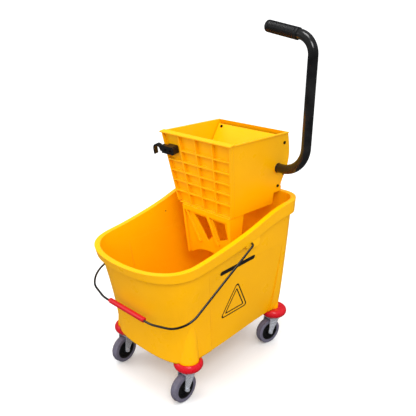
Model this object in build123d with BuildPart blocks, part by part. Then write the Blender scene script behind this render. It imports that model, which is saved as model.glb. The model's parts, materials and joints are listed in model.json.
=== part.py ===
from build123d import *
from math import acos, atan2, cos, degrees, pi, radians, sin, sqrt, tan
import os

# Mop bucket with a side-press wringer. Millimetres.
# X runs across the bucket, -Y is its low rounded front, +Y its high back, Z = 0 is the floor,
# and Y = 0 is midway between the front and the rear caster stems.

os.makedirs("parts", exist_ok=True)

# ---- Casters -------------------------------------------------------------------------------
WHEEL_RADIUS = 38.0
TYRE_WIDTH = 21.0
HUB_RADIUS = 27.0
HUB_WIDTH = 24.0
AXLE_RADIUS = 3.0
TRAIL = 20.0
STEM_RADIUS = 5.5
STEM_TOP = 150.0
CROWN_TOP = 82.0
CROWN_THICK = 3.0
FORK_GAP = 26.0
FORK_SHEET = 2.5
COVER_TOP = 84.2
BUMPER_BOTTOM = 84.7
BUMPER_TOP = 111.0
BUMPER_RADIUS = 37.5
FIT_GAP = 0.05
STEMS = {
    "front_right": (122.0, -178.0),
    "front_left": (-122.0, -178.0),
    "rear_right": (111.0, 178.0),
    "rear_left": (-111.0, 178.0),
}
SWIVELS = {"front_right": 2.0, "front_left": 4.0, "rear_right": -11.0, "rear_left": -6.0}

# ---- Bucket --------------------------------------------------------------------------------
WALL = 4.0
BASE = 105.0
REFERENCE_TOP = 400.0
LIP_WIDTH = 10.0
FOOT_RADIUS = 28.0
FOOT_BOTTOM = 101.0
FOOT_TOP = 330.0
FOOT_TAPER = 3.6
REAR_FOOT_RADIUS = 13.2
REAR_FOOT_TOP = 165.0
BOSS_RADIUS = 15.0
BOSS_TOP = 160.0
SOCKET_RADIUS = 9.0
PANEL_DEPTH = 6.0
PANEL_TOP = 335.0
PANEL_BACK = 150.0
RIM = [(-345, 371), (-280, 375), (-190, 382), (-90, 399), (10, 424), (110, 454), (170, 461), (250, 462)]
LIP_FRONT_HEIGHT = 20.0
LIP_BACK_HEIGHT = 40.0
BAIL_Y = 0.0
BAIL_Z = 386.0
BAIL_FACE = 169.0
BAIL_WIRE = 2.8
BAIL_HALF = 187.0
BAIL_REACH = 308.0
BAIL_HANG = 28.5
BAIL_GRIP_RADIUS = 6.8
BAIL_GRIP_LENGTH = 138.0

# ---- Wringer -------------------------------------------------------------------------------
BOX_BOTTOM = 431.0
BOX_TOP = 632.0
BOTTOM_HALF = 99.0
TOP_HALF = 123.5
FRONT_LEAN = -36.0
SHEET = 4.0
RIB_DEPTH = 9.0
RIB_THICK = 4.0
SHAFT_Y = 165.0
SHAFT_Z = 537.0
SHAFT_RADIUS = 8.0
HINGE_Y = 110.0
HINGE_RADIUS = 5.0
GEAR_MODULE = 4.0
PINION_TEETH = 12
SECTOR_TEETH = 39
PRESSURE_ANGLE = 20.0
BACKLASH = 0.35
GEAR_IN = 88.0
GEAR_OUT = 95.5
PINION_IN = 87.0
PINION_OUT = 96.5
TUBE_RADIUS = 12.7
TUBE_BORE = 10.7
TUBE_START = 118.0
BUSH_RADIUS = 11.0
BUSH_FACE = 114.5
HINGE_HALF = 100.0
BOLT_X = 123.5
PIN_RADIUS = 2.5
NOTCH_Y = 166.0
NOTCH_Z = 463.5
PLATE_BACK = 119.0
SECTOR_BELOW = 4
SECTOR_ABOVE = 1
SKIRT_LEAN = 6.0
SKIRT_DROP = 146.0
HANDLE_X = 199.0
HANDLE_CORNER_Z = 872.5
GRIP_END_X = 64.0
GRIP_RISE = 23.5
GRIP_LENGTH = 97.0
GRIP_RADIUS = 15.5
CLIP_LEVEL = 151.0
CLIP_X = -138.0
CLIP_RADIUS = 12.0

GEAR_CENTRES = GEAR_MODULE * (PINION_TEETH + SECTOR_TEETH) / 2
HINGE_Z = SHAFT_Z - sqrt(GEAR_CENTRES**2 - (SHAFT_Y - HINGE_Y) ** 2)
MESH_ANGLE = degrees(atan2(SHAFT_Z - HINGE_Z, SHAFT_Y - HINGE_Y))


def save(piece, label):
    """Label a finished piece and write its STEP file."""
    piece.part.label = label
    export_step(piece.part, f"parts/{label}.step")


# ============================================================================================
# Bucket
# ============================================================================================
WALL_LEVELS = (BASE, 170.0, 240.0, 310.0, 400.0, 510.0)


def blend(low, high, share):
    """Value part of the way from one to another."""
    return low + (high - low) * share


def wall_section(level, grow):
    """Closed plan of the tapering wall at a height: round front, straight sides, round back corners."""
    rise = (level - BASE) / (REFERENCE_TOP - BASE)
    front_rise = rise**1.5
    back_rise = rise**0.75
    half = blend(139.0, 161.0, front_rise) + grow
    back_half = blend(118.0, 160.0, back_rise) + grow
    centre = blend(-158.0, -183.0, front_rise)
    reach = blend(70.0, 113.0, front_rise) + grow
    back = 201.0 + grow
    corner = blend(22.0, 50.0, back_rise) + grow
    bend = back - corner
    pull = (bend - centre) / 3
    fullness = blend(0.76, 0.63, front_rise)
    front = centre - reach
    shoulder = centre - fullness * reach
    with BuildSketch(Plane.XY.offset(level)) as section:
        with BuildLine():
            Bezier((-half, centre), (-half, shoulder), (-fullness * half, front), (0, front))
            Bezier((0, front), (fullness * half, front), (half, shoulder), (half, centre))
            Bezier((half, centre), (half, centre + pull), (back_half, bend - pull), (back_half, bend))
            CenterArc((back_half - corner, bend), corner, 0, 90)
            Line((back_half - corner, back), (corner - back_half, back))
            CenterArc((corner - back_half, bend), corner, 90, 90)
            Bezier((-back_half, bend), (-back_half, bend - pull), (-half, centre + pull), (-half, centre))
        make_face()
    return section.sketch


def wall_body(grow, dent=0.0):
    """Solid inside the wall surface, moved out by grow, and in by dent at the base, fading upwards."""
    sections = []
    for level in WALL_LEVELS:
        fade = 1 - 0.95 * (level - BASE) / (PANEL_TOP - BASE)
        sections.append(wall_section(level, grow - dent * fade))
    with BuildPart() as body:
        loft(sections)
    return body.part


def below_rim(front_drop, back_drop):
    """Everything under the rim's S-curve, lowered by an amount that grows towards the back."""
    first, last = RIM[0][0], RIM[-1][0]
    with BuildPart() as region:
        with BuildSketch(Plane.YZ):
            with BuildLine():
                curve = [
                    (y, z - blend(front_drop, back_drop, (y - first) / (last - first))) for y, z in RIM
                ]
                Spline(*curve)
                Polyline(curve[-1], (last, 0), (first, 0), curve[0])
            make_face()
        extrude(amount=260, both=True)
    return region.part


def panel_slab(margin):
    """Slab across the bucket that holds both flat side panels; its front edge leans forward going up."""
    with BuildPart() as slab:
        with BuildSketch(Plane.YZ):
            with BuildLine():
                Polyline(
                    (-107 - margin, 90),
                    (-135 - margin, PANEL_TOP + margin),
                    (PANEL_BACK + margin, PANEL_TOP + margin),
                    (PANEL_BACK + margin, 90),
                    close=True,
                )
            make_face()
        extrude(amount=200, both=True)
    return slab.part


def make_bucket():
    """The tub: dented side panels, four feet with stem bosses, a hollow rolled lip and the bail bosses."""
    with BuildPart() as outer_dents:
        add(panel_slab(0))
        add(wall_body(0, PANEL_DEPTH), mode=Mode.SUBTRACT)

    with BuildPart() as inner_dents:
        add(panel_slab(WALL))
        add(wall_body(-WALL, PANEL_DEPTH), mode=Mode.SUBTRACT)

    with BuildPart() as cavity:
        add(wall_body(-WALL))
        split(bisect_by=Plane.XY.offset(BASE + WALL), keep=Keep.TOP)
        add(inner_dents.part, mode=Mode.SUBTRACT)
        with BuildSketch(Plane.XY.offset(BASE)):
            with Locations(*STEMS.values()):
                Circle(BOSS_RADIUS)
        extrude(amount=BOSS_TOP - BASE, mode=Mode.SUBTRACT)

    with BuildPart() as lip_hollow:
        add(wall_body(LIP_WIDTH - WALL))
        add(wall_body(0), mode=Mode.SUBTRACT)
        add(below_rim(WALL, WALL), mode=Mode.INTERSECT)

    with BuildPart() as lip:
        add(wall_body(LIP_WIDTH))
        add(below_rim(0, 0), mode=Mode.INTERSECT)
        add(below_rim(LIP_FRONT_HEIGHT, LIP_BACK_HEIGHT), mode=Mode.SUBTRACT)
        add(lip_hollow.part, mode=Mode.SUBTRACT)

    with BuildPart() as tub:
        add(wall_body(0))
        fillet(tub.edges().group_by(Axis.Z)[0], radius=9)
        add(below_rim(2, 2), mode=Mode.INTERSECT)
        with BuildSketch(Plane.XY.offset(FOOT_BOTTOM)):
            with Locations(STEMS["front_right"], STEMS["front_left"]):
                Circle(FOOT_RADIUS)
        extrude(amount=FOOT_TOP - FOOT_BOTTOM, taper=FOOT_TAPER)
        with BuildSketch(Plane.XY.offset(FOOT_BOTTOM)):
            with Locations(STEMS["rear_right"], STEMS["rear_left"]):
                Circle(REAR_FOOT_RADIUS)
        extrude(amount=REAR_FOOT_TOP - FOOT_BOTTOM, taper=1)
        add(outer_dents.part, mode=Mode.SUBTRACT)
        add(lip.part)
        for side in (1, -1):
            with BuildSketch(Plane.YZ.offset(side * 150)):
                with Locations((BAIL_Y + 6, BAIL_Z + 8)):
                    RectangleRounded(52, 44, 12)
            extrude(amount=side * (BAIL_FACE - 150))
        add(cavity.part, mode=Mode.SUBTRACT)
        with BuildSketch(Plane.XY.offset(FOOT_BOTTOM)):
            with Locations(*STEMS.values()):
                Circle(SOCKET_RADIUS)
        extrude(amount=STEM_TOP - FOOT_BOTTOM + 2, mode=Mode.SUBTRACT)
        for side in (1, -1):
            with BuildSketch(Plane.YZ.offset(side * (BAIL_FACE - 14))):
                with Locations((BAIL_Y, BAIL_Z)):
                    Circle(BAIL_WIRE + FIT_GAP)
            extrude(amount=side * 16, mode=Mode.SUBTRACT)
    return tub


def make_socket():
    """Plastic sleeves pressed into the feet, which grip the caster stems."""
    with BuildPart() as sleeves:
        with BuildSketch(Plane.XY.offset(FOOT_BOTTOM + 1)):
            with Locations(*STEMS.values()):
                Circle(SOCKET_RADIUS)
                Circle(STEM_RADIUS, mode=Mode.SUBTRACT)
        extrude(amount=STEM_TOP - FOOT_BOTTOM - 3)
    return sleeves


# ============================================================================================
# Bail
# ============================================================================================
def bail_plane():
    """Plane of the hanging bail: its X is the bucket's X, its Y runs from the pivots to the grip."""
    drop = radians(BAIL_HANG)
    return Plane(origin=(0, BAIL_Y, BAIL_Z), x_dir=(1, 0, 0), z_dir=(0, sin(drop), -cos(drop)))


def make_bail_wire():
    """Bent steel wire: two stubs in the bosses, two arms round the tub and a straight grip length."""
    route_points = [
        (BAIL_FACE - 12, 0),
        (BAIL_HALF - 10, 0),
        (BAIL_HALF, BAIL_REACH - 50),
        (BAIL_HALF - 30, BAIL_REACH - 16),
        (BAIL_GRIP_LENGTH / 2 + 25, BAIL_REACH),
    ]
    route_points += [(-x, y) for x, y in reversed(route_points)]
    with BuildPart() as wire:
        with BuildLine(bail_plane()) as route:
            FilletPolyline(*route_points, radius=[9, 60, 60, 120, 120, 60, 60, 9])
        with BuildSketch(Plane(origin=route.line @ 0, z_dir=route.line % 0)):
            Circle(BAIL_WIRE)
        sweep()
    return wire


def make_bail_grip():
    """Half-sleeve grip on the inner side of the wire, open along its outer side."""
    hang = bail_plane()
    seat = Plane(origin=hang.from_local_coords((0, BAIL_REACH, 0)), x_dir=hang.y_dir, z_dir=(1, 0, 0))
    with BuildPart() as grip:
        with BuildSketch(seat):
            with Locations((-1.5, 0)):
                Circle(BAIL_GRIP_RADIUS)
        extrude(amount=BAIL_GRIP_LENGTH / 2, both=True)
        fillet(grip.edges().filter_by(GeomType.CIRCLE), radius=3)
        with BuildSketch(seat):
            Circle(BAIL_WIRE)
            with Locations((5, 0)):
                Rectangle(10, 2 * BAIL_WIRE)
        extrude(amount=BAIL_GRIP_LENGTH, both=True, mode=Mode.SUBTRACT)
    return grip


# ============================================================================================
# Casters, each made about its own stem axis with the wheel trailing towards -Y
# ============================================================================================
def wheel_plane():
    """Plane across the wheel: its X is the radius from the axle upwards, its Y the axle direction."""
    return Plane(origin=(0, -TRAIL, WHEEL_RADIUS), x_dir=(0, 0, 1), z_dir=(0, 1, 0))


def axle_axis():
    """Axis of the wheel's axle."""
    return Axis((0, -TRAIL, WHEEL_RADIUS), (1, 0, 0))


def make_stem():
    """Grip-ring stem with its upper race flange and the riveted kingpin that holds the fork."""
    with BuildPart() as stem:
        with BuildSketch(Plane.XZ):
            with BuildLine():
                Polyline(
                    (0, 76.8),
                    (6.5, 76.8),
                    (6.5, CROWN_TOP - CROWN_THICK - 0.3),
                    (4, CROWN_TOP - CROWN_THICK - 0.3),
                    (4, CROWN_TOP + 0.3),
                    (9.5, CROWN_TOP + 0.3),
                    (9.5, BUMPER_BOTTOM + 0.8),
                    (STEM_RADIUS, BUMPER_BOTTOM + 0.8),
                    (STEM_RADIUS, STEM_TOP - 6),
                    (STEM_RADIUS - 1.5, STEM_TOP - 3),
                    (0, STEM_TOP - 3),
                    close=True,
                )
            make_face()
        revolve(axis=Axis.Z)
    return stem


def make_bumper(foot_radius):
    """Round rubber bumper: bulging outside, dished on top for the foot, recessed below for the race."""
    dish = foot_radius + 0.4
    with BuildPart() as bumper:
        with BuildSketch(Plane.XZ):
            with BuildLine():
                Polyline(
                    (24, BUMPER_BOTTOM),
                    (9.8, BUMPER_BOTTOM),
                    (9.8, BUMPER_BOTTOM + 0.8),
                    (STEM_RADIUS + FIT_GAP, BUMPER_BOTTOM + 0.8),
                    (STEM_RADIUS + FIT_GAP, FOOT_BOTTOM),
                    (dish, FOOT_BOTTOM),
                    (dish, BUMPER_TOP - 0.8),
                    (max(dish + 1, 24), BUMPER_TOP - 0.3),
                )
                Spline(
                    (max(dish + 1, 24), BUMPER_TOP - 0.3),
                    (31.5, BUMPER_TOP),
                    (35.6, BUMPER_TOP - 4),
                    (BUMPER_RADIUS, BUMPER_TOP - 12),
                    (BUMPER_RADIUS - 4.5, BUMPER_BOTTOM + 5),
                    (24, BUMPER_BOTTOM),
                )
            make_face()
        revolve(axis=Axis.Z)
    return bumper


def tub_footprint():
    """Prism of the tub's plan just above its floor, which the bumpers leave free."""
    rise = 8.0
    with BuildPart() as footprint:
        extrude(wall_section(BASE - 0.3 + rise, 0.6), amount=rise, both=True, dir=(0, 0, 1))
    return footprint.part


def make_fork():
    """Pressed steel fork: an arched sheet with two tapering legs, kingpin hole and axle holes."""
    leg_in = FORK_GAP / 2
    leg_out = leg_in + FORK_SHEET
    bend = 4.0
    with BuildPart() as fork:
        with BuildSketch(Plane.XZ):
            with Locations((0, CROWN_TOP / 2)):
                RectangleRounded(2 * leg_out, CROWN_TOP, bend)
            with Locations((0, (CROWN_TOP - CROWN_THICK) / 2)):
                RectangleRounded(2 * leg_in, CROWN_TOP - CROWN_THICK, bend - FORK_SHEET, mode=Mode.SUBTRACT)
        extrude(amount=60, both=True)
        with BuildSketch(Plane.YZ):
            with Locations((-TRAIL, WHEEL_RADIUS)):
                Circle(6.5)
            with Locations((-6, CROWN_TOP - 3)):
                RectangleRounded(33, 6, 1)
            make_hull()
        extrude(amount=leg_out, both=True, mode=Mode.INTERSECT)
        with BuildSketch(Plane.XY.offset(CROWN_TOP - CROWN_THICK)):
            Circle(4 + FIT_GAP)
        extrude(amount=CROWN_THICK, mode=Mode.SUBTRACT)
        with BuildSketch(Plane.YZ):
            with Locations((-TRAIL, WHEEL_RADIUS)):
                Circle(AXLE_RADIUS)
        extrude(amount=leg_out + 1, both=True, mode=Mode.SUBTRACT)
    return fork


def make_cover():
    """Swivel cover: a thin plastic ring that lies on the crown round the race."""
    with BuildPart() as cover:
        with BuildSketch(Plane.XY.offset(CROWN_TOP)):
            Circle(21)
            Circle(10.2, mode=Mode.SUBTRACT)
        extrude(amount=COVER_TOP - CROWN_TOP)
        fillet(cover.edges().group_by(Axis.Z)[-1].sort_by(SortBy.LENGTH)[-1], radius=1)
    return cover


def make_tyre():
    """Rubber tyre with a slightly crowned tread and rounded shoulders."""
    half = TYRE_WIDTH / 2
    with BuildPart() as tyre:
        with BuildSketch(wheel_plane()):
            with BuildLine():
                side = WHEEL_RADIUS - 7
                Polyline((side, half), (HUB_RADIUS, half), (HUB_RADIUS, -half), (side, -half))
                Spline(
                    (WHEEL_RADIUS - 7, -half),
                    (WHEEL_RADIUS - 1.4, -half + 3.6),
                    (WHEEL_RADIUS, 0),
                    (WHEEL_RADIUS - 1.4, half - 3.6),
                    (WHEEL_RADIUS - 7, half),
                    tangents=((1, 0), (-1, 0)),
                )
            make_face()
        revolve(axis=axle_axis())
    return tyre


def make_hub():
    """Moulded hub: outer ring, dished web and a boss bored for the axle."""
    with BuildPart() as hub:
        with BuildSketch(wheel_plane()):
            with BuildLine():
                upper = [
                    (AXLE_RADIUS + FIT_GAP, HUB_WIDTH / 2),
                    (9, HUB_WIDTH / 2),
                    (10.5, 5),
                    (21, 3.5),
                    (23, TYRE_WIDTH / 2 - 0.8),
                    (HUB_RADIUS, TYRE_WIDTH / 2 - 0.8),
                ]
                Polyline(*upper, *[(x, -y) for x, y in reversed(upper)], close=True)
            make_face()
        revolve(axis=axle_axis())
    return hub


def make_axle():
    """Axle bolt with a hexagon head, and its nut on the other side."""
    leg_out = FORK_GAP / 2 + FORK_SHEET
    with BuildPart() as axle:
        with BuildSketch(Plane.YZ.offset(-leg_out - 5.5)):
            with Locations((-TRAIL, WHEEL_RADIUS)):
                Circle(AXLE_RADIUS)
        extrude(amount=2 * leg_out + 7)
        for start, length in ((leg_out, 3.6), (-leg_out - 4.2, 4.2)):
            with BuildSketch(Plane.YZ.offset(start)):
                with Locations((-TRAIL, WHEEL_RADIUS)):
                    RegularPolygon(5.6, 6)
            extrude(amount=length)
    return axle


def place_casters():
    """Put a copy of each caster piece and bumper at every stem."""
    pieces = {
        "stem": make_stem(),
        "fork": make_fork(),
        "swivel_cover": make_cover(),
        "tyre": make_tyre(),
        "hub": make_hub(),
        "axle_bolt": make_axle(),
    }
    for corner, (x, y) in STEMS.items():
        for kind, piece in pieces.items():
            with BuildPart() as placed:
                with Locations(Location((x, y, 0), (0, 0, SWIVELS[corner]))):
                    add(piece.part)
            save(placed, f"{kind}_{corner}")
        with BuildPart() as bumper:
            with Locations((x, y, 0)):
                add(make_bumper(FOOT_RADIUS if "front" in corner else REAR_FOOT_RADIUS).part)
            add(tub_footprint(), mode=Mode.SUBTRACT)
        save(bumper, f"bumper_{corner}")


# ============================================================================================
# Wringer body
# ============================================================================================
LEAN = degrees(atan2(-FRONT_LEAN, BOX_TOP - BOX_BOTTOM))
REAR_CURVE = [(190, BOX_TOP), (203, 597), (211, 552), (205, 520), (197, 500), (193.5, NOTCH_Z)]


def half_width(z):
    """Outer half-width of the box at a height."""
    return blend(BOTTOM_HALF, TOP_HALF, (z - BOX_BOTTOM) / (BOX_TOP - BOX_BOTTOM))


def taper_prism(inset, low, high):
    """Prism along Y whose sides follow the box's tapering side walls, moved in by inset."""
    with BuildPart() as prism:
        with BuildSketch(Plane.XZ.offset(-260)):
            with BuildLine():
                wide, narrow = half_width(high) - inset, half_width(low) - inset
                Polyline((narrow, low), (wide, high), (-wide, high), (-narrow, low), close=True)
            make_face()
        extrude(amount=340)
    return prism.part


def front_plane(depth):
    """Plane parallel to the leaning front wall, a depth behind its rib tips; its Y runs up the wall."""
    lean = radians(LEAN)
    tips = Plane(origin=(0, 0, BOX_BOTTOM), x_dir=(1, 0, 0), z_dir=(0, -cos(lean), -sin(lean)))
    return tips.offset(-depth)


def make_housing():
    """Side walls with shaft bosses and a top flange, a slotted floor and the notch that sits on the rim."""
    with BuildPart() as housing:
        add(taper_prism(0, BOX_BOTTOM, BOX_TOP))
        with BuildSketch(Plane.YZ):
            with BuildLine():
                Polyline(REAR_CURVE[-1], (NOTCH_Y, NOTCH_Z), (NOTCH_Y, BOX_BOTTOM), (0, BOX_BOTTOM))
                Line((0, BOX_BOTTOM), (FRONT_LEAN, BOX_TOP))
                Line((FRONT_LEAN, BOX_TOP), REAR_CURVE[0])
                Spline(*REAR_CURVE)
            make_face()
        extrude(amount=160, both=True, mode=Mode.INTERSECT)
        add(taper_prism(SHEET, BOX_BOTTOM + SHEET, BOX_TOP + 20), mode=Mode.SUBTRACT)
        with BuildSketch(front_plane(0)):
            Rectangle(300, 600)
        extrude(amount=-(RIB_DEPTH + SHEET), mode=Mode.SUBTRACT)
        for side in (1, -1):
            with BuildSketch(Plane.YZ.offset(side * (half_width(SHAFT_Z) - 8))):
                with Locations((SHAFT_Y, SHAFT_Z)):
                    Circle(BUSH_RADIUS + 3.5)
            extrude(amount=side * 10)
        with BuildSketch(Plane.YZ):
            with Locations((SHAFT_Y, SHAFT_Z)):
                Circle(BUSH_RADIUS)
        extrude(amount=160, both=True, mode=Mode.SUBTRACT)
        with BuildSketch(Plane.YZ):
            with Locations((HINGE_Y, HINGE_Z)):
                Circle(HINGE_RADIUS)
        extrude(amount=HINGE_HALF, both=True, mode=Mode.SUBTRACT)
        with BuildSketch(Plane.XY.offset(BOX_BOTTOM)):
            with GridLocations(22, 0, 7, 1):
                with Locations((0, 62)):
                    SlotOverall(74, 9, rotation=90)
        extrude(amount=SHEET, mode=Mode.SUBTRACT)
        for side in (1, -1):
            wall = half_width(BOX_TOP)
            with BuildSketch(Plane.XY.offset(BOX_TOP - 3)):
                with Locations((side * (wall + 0.5), 190)):
                    Rectangle(5, 190 - FRONT_LEAN - 13.8, align=(Align.CENTER, Align.MAX))
            extrude(amount=3)
    return housing


def cell_outline(column, low, high):
    """Corners of one pocket between the ribs, on the front wall's own plane."""
    top_level = (BOX_TOP - BOX_BOTTOM) / cos(radians(LEAN))
    left, right = -1 + column / 2, -0.5 + column / 2
    margin = RIB_THICK / 2
    corners = []
    for share, level, shift in (
        (left, low, margin),
        (right, low, -margin),
        (right, high, -margin),
        (left, high, margin),
    ):
        half = blend(BOTTOM_HALF, TOP_HALF, level / top_level) - margin
        corners.append((share * half + shift, level))
    return corners


def make_front_wall():
    """Ribbed front wall: a skin with an egg-crate of ribs, and a tall plain pocket for the handle clip."""
    height = (BOX_TOP - BOX_BOTTOM) / cos(radians(LEAN))
    shares = (0, 185, 160, 150, 155, 165, 235)
    levels = [height * sum(shares[: i + 1]) / sum(shares) for i in range(len(shares))]
    with BuildPart() as wall:
        with BuildSketch(front_plane(RIB_DEPTH + SHEET)) as outline:
            Polygon(
                (-BOTTOM_HALF, 0), (BOTTOM_HALF, 0), (TOP_HALF, height), (-TOP_HALF, height), align=None
            )
            fillet(outline.vertices().sort_by_distance((-BOTTOM_HALF, 0))[0], radius=14)
        extrude(amount=RIB_DEPTH + SHEET)
        with BuildSketch(front_plane(0)):
            for column in range(4):
                rows = list(zip(levels[:-1], levels[1:]))
                if column == 0:
                    rows[-2:] = [(levels[4], levels[6])]
                for low, high in rows:
                    corners = cell_outline(column, low + RIB_THICK / 2, high - RIB_THICK / 2)
                    Polygon(*corners, align=None)
        extrude(amount=-RIB_DEPTH, mode=Mode.SUBTRACT)
        with BuildSketch(front_plane(RIB_DEPTH + SHEET)):
            with Locations((0, height - 1.5)):
                Rectangle(2 * TOP_HALF + 6, 3)
        extrude(amount=RIB_DEPTH + SHEET + 4)
    return wall


def skirt_plane():
    """Plane of the lower skirt: its Y runs up, and it leans back going down."""
    lean = radians(SKIRT_LEAN)
    return Plane(origin=(0, 2, BOX_BOTTOM - 0.2), x_dir=(1, 0, 0), z_dir=(0, -cos(lean), -sin(lean)))


def make_skirt():
    """Lower skirt: a leaning panel with two slanted windows, edge ribs, side returns and an arched foot."""
    drop = -SKIRT_DROP
    with BuildPart() as skirt:
        with BuildSketch(skirt_plane()):
            Polygon((-80, 0), (96, 0), (96, drop), (-74, drop), align=None)
            Polygon((-42, -22), (4, -22), (27, -70), (4, -92), (-16, -60), align=None, mode=Mode.SUBTRACT)
            Polygon((28, -22), (72, -22), (80, -66), (48, -80), align=None, mode=Mode.SUBTRACT)
            with BuildLine():
                Line((-62, drop), (74, drop))
                ThreePointArc((74, drop), (6, drop + 22), (-62, drop))
            make_face(mode=Mode.SUBTRACT)
        extrude(amount=-SHEET)
        with BuildSketch(skirt_plane()):
            Polygon((-80, 0), (96, 0), (96, -14), (-79.4, -14), align=None)
            Polygon((-80, 0), (-74, 0), (-68, drop), (-74, drop), align=None)
            Polygon((86, -14), (96, -14), (96, drop), (88, drop), align=None)
            Polygon((-70, -14), (-64, -14), (-20, -100), (-26, -100), align=None)
            Polygon((12, -14), (20, -14), (48, -92), (40, -92), align=None)
        extrude(amount=6)
        for side, x in ((1, 96), (-1, -75)):
            with BuildSketch(Plane.YZ.offset(x)):
                Polygon((5, BOX_BOTTOM - 0.2), (52, BOX_BOTTOM - 0.2), (34, 290), (20, 290), align=None)
            extrude(amount=-side * SHEET)
    return skirt


def make_rear_cover():
    """Curved cover behind the gears, closing the box between the side walls."""
    with BuildPart() as cover:
        with BuildSketch(Plane.YZ):
            with BuildLine():
                outer = Spline(*[(y - 0.5, z) for y, z in REAR_CURVE])
                inner = Spline(*[(y - 3.5, z) for y, z in REAR_CURVE])
                Line(outer @ 0, inner @ 0)
                Line(outer @ 1, inner @ 1)
            make_face()
        extrude(amount=160, both=True)
        add(taper_prism(SHEET, BOX_BOTTOM, BOX_TOP + 20), mode=Mode.INTERSECT)
        with BuildSketch(Plane.YZ):
            Polygon(
                (NOTCH_Y - 3, BOX_BOTTOM + SHEET),
                (NOTCH_Y, BOX_BOTTOM + SHEET),
                (NOTCH_Y, NOTCH_Z),
                (190.5, NOTCH_Z),
                (190.5, NOTCH_Z + 3),
                (NOTCH_Y - 3, NOTCH_Z + 3),
                align=None,
            )
        extrude(amount=half_width(BOX_BOTTOM + SHEET) - SHEET, both=True)
    return cover


def make_rim_hooks():
    """Two hooks fixed under the cover, which drop over the bucket's back rim."""
    with BuildPart() as hooks:
        with BuildSketch(Plane.YZ):
            with BuildLine():
                Polyline(
                    (194, NOTCH_Z),
                    (194, NOTCH_Z + 8),
                    (216, NOTCH_Z + 8),
                    (220, NOTCH_Z + 4),
                    (220, NOTCH_Z - 34),
                    (215, NOTCH_Z - 34),
                    (215, NOTCH_Z),
                    close=True,
                )
            make_face()
        extrude(amount=95, both=True)
        with BuildSketch(Plane.XY.offset(NOTCH_Z - 40)):
            with Locations((0, 210)):
                Rectangle(130, 60)
            with Locations((-96, 210), (96, 210)):
                Rectangle(20, 60)
        extrude(amount=60, mode=Mode.SUBTRACT)
    return hooks


# ============================================================================================
# Press plate and gear train
# ============================================================================================
def involute(angle):
    """Involute function of an angle in radians."""
    return tan(angle) - angle


def gear_teeth(plane, teeth, addendum, centre_angle, first, last):
    """Faces of involute teeth numbered first to last on a plane, with tooth 0 pointing at centre_angle."""
    pitch = GEAR_MODULE * teeth / 2
    base = pitch * cos(radians(PRESSURE_ANGLE))
    root = pitch - 1.2 * GEAR_MODULE
    tip = pitch + addendum
    half_tooth = pi / (2 * teeth) - BACKLASH / (2 * pitch)
    start = max(base, root)
    flank = []
    for step in range(5):
        radius = blend(start, tip, step / 4)
        roll = acos(min(1, base / radius))
        flank.append((radius, half_tooth + involute(radians(PRESSURE_ANGLE)) - involute(roll)))

    def point(radius, angle):
        return (radius * cos(angle), radius * sin(angle))

    with BuildSketch(plane) as face:
        for tooth in range(first, last + 1):
            middle = radians(centre_angle) + 2 * pi * tooth / teeth
            low_side = [point(radius, middle - offset) for radius, offset in flank]
            high_side = [point(radius, middle + offset) for radius, offset in flank]
            foot = flank[0][1]
            with BuildLine():
                Line(point(root - 1, middle - foot), low_side[0])
                Spline(*low_side)
                Line(low_side[-1], high_side[-1])
                Spline(*high_side)
                Line(high_side[0], point(root - 1, middle + foot))
                Line(point(root - 1, middle + foot), point(root - 1, middle - foot))
            make_face()
    return face.sketch


def make_pinion(side):
    """Twelve-tooth pinion on the handle shaft; a tooth points at the hinge."""
    low = PINION_IN if side > 0 else -PINION_OUT
    plane = Plane(origin=(low, SHAFT_Y, SHAFT_Z), x_dir=(0, 1, 0), z_dir=(1, 0, 0))
    teeth = gear_teeth(plane, PINION_TEETH, 4.0, MESH_ANGLE + 180, 0, PINION_TEETH - 1)
    with BuildPart() as pinion:
        with BuildSketch(plane):
            Circle(GEAR_MODULE * PINION_TEETH / 2 - 1.2 * GEAR_MODULE)
        extrude(amount=PINION_OUT - PINION_IN)
        extrude(teeth, amount=PINION_OUT - PINION_IN, dir=(1, 0, 0))
        with BuildSketch(plane):
            Circle(SHAFT_RADIUS)
        extrude(amount=PINION_OUT - PINION_IN, mode=Mode.SUBTRACT)
    return pinion


def polar(radius, angle):
    """Point at a radius and an angle in degrees."""
    return (radius * cos(radians(angle)), radius * sin(radians(angle)))


def make_sector(side):
    """Toothed sector screwed to the press plate; a tooth gap meets the pinion's tooth at rest."""
    low = GEAR_IN if side > 0 else -GEAR_OUT
    thick = GEAR_OUT - GEAR_IN
    plane = Plane(origin=(low, HINGE_Y, HINGE_Z), x_dir=(0, 1, 0), z_dir=(1, 0, 0))
    root = GEAR_MODULE * SECTOR_TEETH / 2 - 1.2 * GEAR_MODULE
    pitch_angle = 360 / SECTOR_TEETH
    low_angle = MESH_ANGLE - SECTOR_BELOW * pitch_angle
    high_angle = MESH_ANGLE + SECTOR_ABOVE * pitch_angle
    back = PLATE_BACK - HINGE_Y + 0.1
    inner_reach = NOTCH_Y - 6 - HINGE_Y
    first_tooth = MESH_ANGLE + pitch_angle / 2
    teeth = gear_teeth(plane, SECTOR_TEETH, 3.0, first_tooth, -SECTOR_BELOW, SECTOR_ABOVE - 1)
    with BuildPart() as sector:
        with BuildSketch(plane):
            with BuildLine():
                CenterArc((0, 0), root, low_angle, high_angle - low_angle)
                Polyline(
                    polar(root, high_angle),
                    (back, 80),
                    (back, 9),
                    (0, 9),
                    (0, -9),
                    (inner_reach, 4),
                    (inner_reach, 24),
                    polar(root, low_angle),
                )
            make_face()
            Circle(HINGE_RADIUS + 4)
        extrude(amount=thick)
        extrude(teeth, amount=thick, dir=(1, 0, 0))
        with BuildSketch(plane):
            Circle(HINGE_RADIUS + FIT_GAP)
            with Locations(polar(42, 50)):
                SlotOverall(32, 18, rotation=50)
        extrude(amount=thick, mode=Mode.SUBTRACT)
    return sector


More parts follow.
